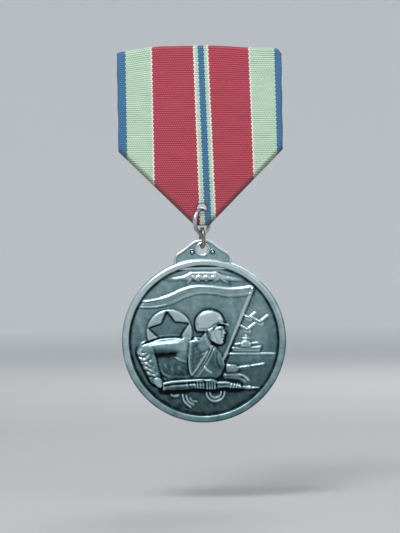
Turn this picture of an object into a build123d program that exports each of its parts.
from build123d import *
import os
from math import cos, radians, sin, tan

# Service medal: a struck disc hanging by two rings from a ribbon mount, worn by a brooch needle.
# Millimetres. +Z is up as worn, the front faces -Y and +X is to the right seen from the front.
# The origin is on the axis of the brooch needle, at the middle of its straight shank.

# Ring wire, which the holes it runs through follow
WIRE_RADIUS = 0.425

# Ribbon mount
RIBBON_WIDTH = 33.0
RIBBON_THICKNESS = 0.35
SELVEDGE_HEIGHT = 21.1          # straight side, from the top fold to the shoulder
SLANT_ANGLE = 45.0              # lower edges, from the horizontal
TOP_ABOVE_NEEDLE = 9.0
RIBBON_TIP_RISE = 1.7           # cut end of the cloth, above the point where the slants would meet
FOLD_RADIUS = 0.55
BACK_PANEL_HEIGHT = 14.0        # cloth turned down behind, from the top fold
SLANT_FLAP_WIDTH = 6.0          # cloth turned in behind each slant
RIBBON_HOLE_RADIUS = WIRE_RADIUS + 1.075

# Plates
BACKING_THICKNESS = 0.6
BACKING_SIDE_GAP = 0.3          # how far the selvedge stands past the plate
BACKING_TIP_RISE = 1.4
BACKING_TOP_GAP = 1.7           # plate top below the top of the fold
RING_HOLE_RADIUS = WIRE_RADIUS + 0.655
RING_HOLE_ABOVE_TIP = 3.6
REAR_THICKNESS = 0.5
REAR_INSET = 2.5
REAR_BOTTOM_ABOVE_HOLE = 3.1
REAR_CORNER_RADIUS = 0.8

# Plate rivets
RIVET_RADIUS = 0.6
RIVET_HEAD_RADIUS = 1.15
RIVET_HEAD_HEIGHT = 0.45
RIVET_SINK_RADIUS = 1.0
RIVET_SINK_DEPTH = 0.3
RIVET_FIT = 0.02
UPPER_RIVET_FROM_SIDE = 5.5
UPPER_RIVET_BELOW_TOP = 4.3
LOWER_RIVET_FROM_MIDDLE = 7.3
LOWER_RIVET_ABOVE_POINT = 13.6

# Brooch needle and its fittings
NEEDLE_STANDOFF = 1.9           # needle axis behind the rear plate
NEEDLE_RADIUS = 0.425
NEEDLE_SHANK = 19.0             # straight part, centred on the origin
NEEDLE_TAPER = 3.7
NEEDLE_POINT_RADIUS = 0.06
HINGE_X = -NEEDLE_SHANK / 2 - 2.0
HINGE_TILT = 35.0               # hinge axis, leaning back from the vertical
EYE_RADIUS = 1.1
HINGE_PIN_RADIUS = 0.4
HINGE_PIN_RUNNING_GAP = 0.05
HINGE_PIN_HEAD_RADIUS = 0.7
HINGE_PIN_HEAD_HEIGHT = 0.25
EAR_THICKNESS = 0.45
EAR_RADIUS = 1.2
EAR_SIDE_GAP = 0.06
BRACKET_BASE_THICKNESS = 0.4
BRACKET_BASE_MARGIN = 0.5
HOOK_X = NEEDLE_SHANK / 2 + 2.0
HOOK_WIDTH = 1.8
HOOK_THICKNESS = 0.45
HOOK_INNER_TOP = 0.42           # underside of the hook above the needle axis
HOOK_INNER_FACE = 0.75          # inside of the hook's lip behind the needle axis
HOOK_LIP_DROP = 0.5
HOOK_FOOT_HEIGHT = 2.3

# Rings
UPPER_RING_RADIUS = 2 * WIRE_RADIUS + 1.6     # to the middle of the wire
UPPER_RING_TURN = 36.0          # front half towards -X
UPPER_RING_SEAT = 0.35          # wire centre below the centre of the mount's hole
LOWER_RING_RADIUS = WIRE_RADIUS + 1.425
LOWER_RING_TURN = -8.0
RING_LINK = 2 * WIRE_RADIUS + 0.2     # wire centre to wire centre where the rings cross

# Struck disc
DISC_RADIUS = 16.5
DISC_THICKNESS = 2.6
RIM_WIDTH = 1.4
RIM_ROUNDING = 0.6
FRONT_RECESS = 0.65
BACK_RECESS = 0.35
LUG_THICKNESS = 1.3
LUG_HOLE_RADIUS = WIRE_RADIUS + 0.625
LUG_HOLE_ABOVE_EDGE = 1.8       # above the top of the disc
LUG_BASE_BELOW_EDGE = 1.5
LUG_SEAT = 0.45                 # wire centre above the centre of the lug's hole
LUG_BORDER = 0.43
LUG_BORDER_HEIGHT = 0.2
LUG_ARCS = [                    # start, through and end of each arc of the right half, above the disc's top
    [(5.8, -0.6), (5.65, 0.5), (4.9, 1.15)],
    [(4.9, 1.15), (3.4, 2.15), (2.4, 3.05)],
    [(2.4, 3.05), (1.45, 3.6), (0.0, 3.75)],
]
RELIEF_FIELD = 15.1             # field radius that the struck design's points are drawn for
RELIEF_TURN = -2.0              # the struck design against the lug's axis

# Places worked out from the sizes above
half_width = RIBBON_WIDTH / 2
slant = tan(radians(SLANT_ANGLE))
top_z = TOP_ABOVE_NEEDLE
shoulder_z = top_z - SELVEDGE_HEIGHT
point_z = shoulder_z - half_width * slant
ribbon_tip_z = point_z + RIBBON_TIP_RISE
backing_tip_z = point_z + BACKING_TIP_RISE
hole_z = backing_tip_z + RING_HOLE_ABOVE_TIP

rear_back_y = -NEEDLE_STANDOFF
rear_front_y = rear_back_y - REAR_THICKNESS
backing_back_y = rear_front_y - RIBBON_THICKNESS
backing_front_y = backing_back_y - BACKING_THICKNESS
ribbon_front_y = backing_front_y - RIBBON_THICKNESS
middle_y = (backing_front_y + backing_back_y) / 2

upper_ring_z = hole_z - UPPER_RING_SEAT - UPPER_RING_RADIUS
lower_ring_z = upper_ring_z - UPPER_RING_RADIUS + RING_LINK - LOWER_RING_RADIUS
lug_hole_z = lower_ring_z - LOWER_RING_RADIUS - LUG_SEAT
disc_z = lug_hole_z - LUG_HOLE_ABOVE_EDGE - DISC_RADIUS
disc_front_y = middle_y - DISC_THICKNESS / 2
field_y = disc_front_y + FRONT_RECESS
relief_scale = (DISC_RADIUS - RIM_WIDTH) / RELIEF_FIELD


def panel(points, front_y, back_y):
    """A flat piece facing -Y with the given corners (x, z), filled from front_y to back_y."""
    corners = [(x, front_y, z) for x, z in points]
    return extrude(make_face(Polyline(*corners, close=True)), amount=back_y - front_y, dir=(0, 1, 0))


def rod(radius, x, z, front_y, back_y, tip_radius=None):
    """A round bar along Y; with tip_radius it tapers to that radius at back_y."""
    plane = Plane(origin=(x, front_y, z), z_dir=(0, 1, 0))
    length = back_y - front_y
    align = (Align.CENTER, Align.CENTER, Align.MIN)
    if tip_radius is None:
        return plane * Cylinder(radius, length, align=align)
    return plane * Cone(radius, tip_radius, length, align=align)


def mount_outline(side, top, lower, bottom_z):
    """The mount's outline drawn in by side, top and lower, with its tip cut level at bottom_z."""
    width = half_width - side
    point = point_z + lower / cos(radians(SLANT_ANGLE))
    tip = (bottom_z - point) / slant
    right = [(width, top_z - top), (width, point + width * slant), (tip, bottom_z)]
    return right + [(-x, z) for x, z in reversed(right)]


def rivet_places():
    """The four plate rivets, two above and two below."""
    upper = (half_width - UPPER_RIVET_FROM_SIDE, top_z - UPPER_RIVET_BELOW_TOP)
    lower = (LOWER_RIVET_FROM_MIDDLE, point_z + LOWER_RIVET_ABOVE_POINT)
    return [(side * x, z) for x, z in (upper, lower) for side in (-1, 1)]


def folded_edges(solid):
    """The long outer edges of the cloth along its top fold and its two slants."""
    tall = solid.edges().filter_by(lambda e: abs((e @ 1 - e @ 0).Y) < 1e-6)
    return tall.filter_by(lambda e: abs((e @ 1 - e @ 0).X) > half_width / 2)


def make_ribbon():
    """One cloth: front face, a fold over the top, a short back panel and a flap behind each slant."""
    cloth = panel(mount_outline(0, 0, 0, ribbon_tip_z), ribbon_front_y, rear_front_y)
    cloth = fillet(folded_edges(cloth), FOLD_RADIUS)
    t = RIBBON_THICKNESS
    pocket = panel(mount_outline(-1, t, t, backing_tip_z), backing_front_y, backing_back_y)
    flap_point = point_z + SLANT_FLAP_WIDTH / cos(radians(SLANT_ANGLE))
    panel_z = top_z - BACK_PANEL_HEIGHT
    reach = (panel_z - flap_point) / slant
    window = [(0, flap_point), (reach, panel_z), (-reach, panel_z)]
    cloth = cloth - pocket - panel(window, backing_back_y, rear_front_y + 1)
    cloth -= rod(RIBBON_HOLE_RADIUS, 0, hole_z, ribbon_front_y - 1, rear_front_y + 1)
    for x, z in rivet_places():
        cloth -= rod(RIVET_RADIUS + RIVET_FIT, x, z, backing_back_y - 0.1, rear_front_y + 1)
    return cloth


def make_backing_plate():
    """The stiff plate inside the cloth, whose bare tip shows below the ribbon."""
    t = RIBBON_THICKNESS
    outline = mount_outline(BACKING_SIDE_GAP, BACKING_TOP_GAP, t, backing_tip_z)
    plate = panel(outline, backing_front_y, backing_back_y)
    plate -= rod(RING_HOLE_RADIUS, 0, hole_z, backing_front_y - 1, backing_back_y + 1)
    for x, z in rivet_places():
        plate -= rod(RIVET_RADIUS + RIVET_FIT, x, z, backing_front_y - 1, backing_back_y + 1)
        sink_end = backing_front_y + RIVET_SINK_DEPTH
        sink_radius = RIVET_SINK_RADIUS + RIVET_FIT
        plate -= rod(sink_radius, x, z, backing_front_y, sink_end, RIVET_RADIUS + RIVET_FIT)
    return plate


def make_rear_plate():
    """The plate that clamps the turned-in cloth and carries the needle's fittings."""
    bottom = hole_z + REAR_BOTTOM_ABOVE_HOLE
    outline = mount_outline(REAR_INSET, REAR_INSET, REAR_INSET, bottom)
    plate = panel(outline, rear_front_y, rear_back_y)
    plate = fillet(plate.edges().filter_by(Axis.Y), REAR_CORNER_RADIUS)
    for x, z in rivet_places():
        plate -= rod(RIVET_RADIUS + RIVET_FIT, x, z, rear_front_y - 1, rear_back_y + 1)
    return plate


def make_plate_rivet(x, z):
    """A rivet sunk flush under the ribbon and domed at the back."""
    sink = rod(RIVET_SINK_RADIUS, x, z, backing_front_y, backing_front_y + RIVET_SINK_DEPTH, RIVET_RADIUS)
    shank = rod(RIVET_RADIUS, x, z, backing_front_y, rear_back_y)
    rise, base = RIVET_HEAD_HEIGHT, RIVET_HEAD_RADIUS
    ball_radius = (base**2 + rise**2) / (2 * rise)
    ball = Pos(x, rear_back_y + rise - ball_radius, z) * Sphere(ball_radius)
    head = ball & rod(base, x, z, rear_back_y, rear_back_y + rise)
    return sink + shank + head


def tilted(solid):
    """Turns a solid made upright about the hinge to the lean of the hinge axis."""
    return Pos(HINGE_X, 0, 0) * Rot(-HINGE_TILT, 0, 0) * solid


def make_hinge_bracket():
    """Two leaning ears on a flat base that is brazed to the rear plate."""
    ear_z = NEEDLE_RADIUS + EAR_SIDE_GAP
    leg = NEEDLE_STANDOFF / cos(radians(HINGE_TILT)) + 2
    blank = Cylinder(EAR_RADIUS, EAR_THICKNESS, align=(Align.CENTER, Align.CENTER, Align.MIN))
    blank += Box(2 * EAR_RADIUS, leg, EAR_THICKNESS, align=(Align.CENTER, Align.MAX, Align.MIN))
    ears = Pos(0, 0, ear_z) * blank + Pos(0, 0, -ear_z - EAR_THICKNESS) * blank
    ears -= Cylinder(HINGE_PIN_RADIUS + RIVET_FIT, 4 * (ear_z + EAR_THICKNESS))
    ears = tilted(ears)
    far = -8 * HINGE_X
    ears -= Pos(0, rear_back_y, 0) * Box(far, far, far, align=(Align.CENTER, Align.MAX, Align.CENTER))
    lean = tan(radians(HINGE_TILT))
    foot_half = (ear_z + EAR_THICKNESS) / cos(radians(HINGE_TILT)) + BRACKET_BASE_MARGIN
    base = Pos(HINGE_X, rear_back_y, NEEDLE_STANDOFF * lean) * Box(
        2 * EAR_RADIUS, BRACKET_BASE_THICKNESS, 2 * foot_half, align=(Align.CENTER, Align.MIN, Align.CENTER)
    )
    return ears + base


def make_hinge_rivet():
    """The pin of the needle's hinge, headed outside each ear."""
    half = NEEDLE_RADIUS + EAR_SIDE_GAP + EAR_THICKNESS
    pin = Cylinder(HINGE_PIN_RADIUS, 2 * half)
    head = Cylinder(HINGE_PIN_HEAD_RADIUS, HINGE_PIN_HEAD_HEIGHT)
    for side in (-1, 1):
        pin += Pos(0, 0, side * (half + HINGE_PIN_HEAD_HEIGHT / 2)) * head
    return tilted(pin)


def make_needle():
    """The brooch needle: a flat eye, a round shank and a long point."""
    eye = tilted(Cylinder(EYE_RADIUS, 2 * NEEDLE_RADIUS))
    shank_end = NEEDLE_SHANK / 2
    along = Plane(origin=(HINGE_X, 0, 0), z_dir=(1, 0, 0))
    start = (Align.CENTER, Align.CENTER, Align.MIN)
    shank = along * Cylinder(NEEDLE_RADIUS, shank_end - HINGE_X, align=start)
    taper = Plane(origin=(shank_end, 0, 0), z_dir=(1, 0, 0)) * Cone(
        NEEDLE_RADIUS, NEEDLE_POINT_RADIUS, NEEDLE_TAPER, align=start
    )
    bore = tilted(Cylinder(HINGE_PIN_RADIUS + HINGE_PIN_RUNNING_GAP, 4))
    return eye + shank + taper - bore


def make_catch_hook():
    """A bent strip whose lip turns down behind the needle's point."""
    t = HOOK_THICKNESS
    foot_y, top = rear_back_y, HOOK_INNER_TOP + HOOK_THICKNESS
    lip_end = HOOK_INNER_TOP - HOOK_LIP_DROP
    profile = [
        (foot_y, HOOK_INNER_TOP), (HOOK_INNER_FACE, HOOK_INNER_TOP), (HOOK_INNER_FACE, lip_end),
        (HOOK_INNER_FACE + t, lip_end), (HOOK_INNER_FACE + t, top), (foot_y + t, top),
        (foot_y + t, top + HOOK_FOOT_HEIGHT), (foot_y, top + HOOK_FOOT_HEIGHT),
    ]
    corners = [(HOOK_X - HOOK_WIDTH / 2, y, z) for y, z in profile]
    hook = extrude(make_face(Polyline(*corners, close=True)), amount=HOOK_WIDTH, dir=(1, 0, 0))
    bend = hook.edges().filter_by(Axis.X).sort_by_distance((HOOK_X, HOOK_INNER_FACE + t, top))[0]
    return fillet(bend, 0.9 * t)


def make_ring(radius, turn, z):
    """A closed ring of round wire standing upright, turned about the vertical."""
    axis = (cos(radians(turn)), -sin(radians(turn)), 0)
    return Plane(origin=(0, middle_y, z), z_dir=axis) * Torus(radius, WIRE_RADIUS)


def struck(points, height):
    """A raised patch of the struck design with the given corners, on the disc's own field."""
    k = relief_scale
    patch = panel([(k * x, k * z + disc_z) for x, z in points], field_y - height, field_y + 0.2)
    axis = Axis((0, middle_y, disc_z), (0, 1, 0))
    return patch.rotate(axis, -RELIEF_TURN)


def star_points(x, z, outer, inner, lean):
    """The ten corners of a five-pointed star."""
    corners = []
    for i in range(10):
        reach = outer if i % 2 == 0 else inner
        angle = radians(90 + lean + 36 * i)
        corners.append((x + reach * cos(angle), z + reach * sin(angle)))
    return corners


def make_relief():
    """The main raised patches: ridge, flag and pole, star boss, running figure, weapon, ship and land."""
    ridge = [(-7.6, 12.4), (-2.8, 13.6), (2.6, 13.6), (8.4, 12.1), (5.4, 11.4), (2.1, 11.9), (-1.9, 11.9)]
    flag = [(-13.4, 6.7), (-6.7, 7.3), (-1.0, 9.3), (9.4, 9.2), (10.1, 11.0), (4.6, 10.6)]
    flag += [(-1.9, 11.1), (-12.1, 8.0)]
    pole = [(9.9, 11.1), (10.5, 11.0), (4.3, -4.4), (3.7, -4.3)]
    body = [(-13.6, -1.8), (-9.2, 0.5), (-2.9, 0.3), (0.6, 0.4), (1.4, -2.0), (4.4, -5.6), (1.6, -8.0)]
    body += [(-8.6, -8.6), (-11.0, -8.2)]
    weapon = [(-9.3, -8.0), (8.4, -8.2), (11.0, -9.5), (8.2, -9.4), (-9.4, -10.2)]
    ship = [(5.4, -1.2), (7.9, -0.9), (8.2, 0.4), (8.6, -0.9), (11.7, -1.3), (11.0, -2.4), (5.9, -2.4)]
    land = [(3.9, -4.9), (12.0, -4.7), (12.6, -6.2), (8.9, -7.8), (4.1, -7.0)]
    solids = [struck(ridge, 0.3), struck(flag, 0.3), struck(pole, 0.35), struck(body, 0.4)]
    solids += [struck(weapon, 0.5), struck(ship, 0.2), struck(land, 0.2)]
    k = relief_scale
    boss = rod(4.5 * k, -6.95 * k, disc_z + 1.6 * k, field_y - 0.35, field_y + 0.2)
    corners = [(k * x, k * z + disc_z) for x, z in star_points(-6.95, 1.6, 4.1, 2.2, 7)]
    star = panel(corners, field_y - 1, field_y - 0.1)
    head = Pos(1.5 * k, field_y + 0.1, disc_z + 3.2 * k) * Sphere(2.6 * k)
    head &= rod(4 * k, 1.5 * k, disc_z + 3.2 * k, field_y - 0.55, field_y + 0.2)
    return [boss - star, head] + solids


def lug_outline(y):
    """The lug's face: a root hidden in the disc, then round shoulders that rise to a low crown."""
    def place(point, side):
        return side * point[0], y, disc_z + DISC_RADIUS + point[1]

    root_z = -LUG_BASE_BELOW_EDGE - 1
    side_x, side_z = LUG_ARCS[0][0]
    edges = [Line(place((side_x, root_z), -1), place((side_x, root_z), 1))]
    for side in (-1, 1):
        edges.append(Line(place((side_x, root_z), side), place((side_x, side_z), side)))
        edges += [ThreePointArc(*[place(point, side) for point in arc]) for arc in LUG_ARCS]
    return make_face(edges)


def make_disc():
    """The struck disc with its rim, plain back, raised design and lug, all one piece of metal."""
    disc = rod(DISC_RADIUS, 0, disc_z, disc_front_y, disc_front_y + DISC_THICKNESS)
    disc = fillet(disc.edges(), RIM_ROUNDING)
    back_y = disc_front_y + DISC_THICKNESS
    disc -= rod(DISC_RADIUS - RIM_WIDTH, 0, disc_z, disc_front_y - 1, field_y)
    disc -= rod(DISC_RADIUS - RIM_WIDTH, 0, disc_z, back_y - BACK_RECESS, back_y + 1)
    front, back = middle_y - LUG_THICKNESS / 2, middle_y + LUG_THICKNESS / 2
    outline = lug_outline(front)
    lug = extrude(outline, amount=back - front, dir=(0, 1, 0))
    inner = offset(outline, amount=-LUG_BORDER)
    border = extrude(outline - inner, amount=LUG_BORDER_HEIGHT, dir=(0, -1, 0))
    base_z, side_x = disc_z + DISC_RADIUS - LUG_BASE_BELOW_EDGE, LUG_ARCS[0][0][0]
    crown_z = disc_z + DISC_RADIUS + LUG_ARCS[-1][-1][1]
    keep = [(-side_x, base_z), (side_x, base_z), (side_x, crown_z), (-side_x, crown_z)]
    lug += border & panel(keep, front - LUG_BORDER_HEIGHT, back)
    lug -= rod(LUG_HOLE_RADIUS, 0, lug_hole_z, front - 1, back + 1)
    disc += lug
    for patch in make_relief():
        disc += patch
    return disc


def main():
    """Builds every piece and writes one STEP file for each."""
    parts = {
        "ribbon": make_ribbon(),
        "backing_plate": make_backing_plate(),
        "rear_plate": make_rear_plate(),
        "plate_rivets": Compound([make_plate_rivet(x, z) for x, z in rivet_places()]),
        "hinge_bracket": make_hinge_bracket(),
        "hinge_rivet": make_hinge_rivet(),
        "brooch_needle": make_needle(),
        "catch_hook": make_catch_hook(),
        "upper_ring": make_ring(UPPER_RING_RADIUS, UPPER_RING_TURN, upper_ring_z),
        "lower_ring": make_ring(LOWER_RING_RADIUS, LOWER_RING_TURN, lower_ring_z),
        "medal_disc": make_disc(),
    }
    os.makedirs("parts", exist_ok=True)
    for name, solid in parts.items():
        export_step(solid, f"parts/{name}.step")


main()
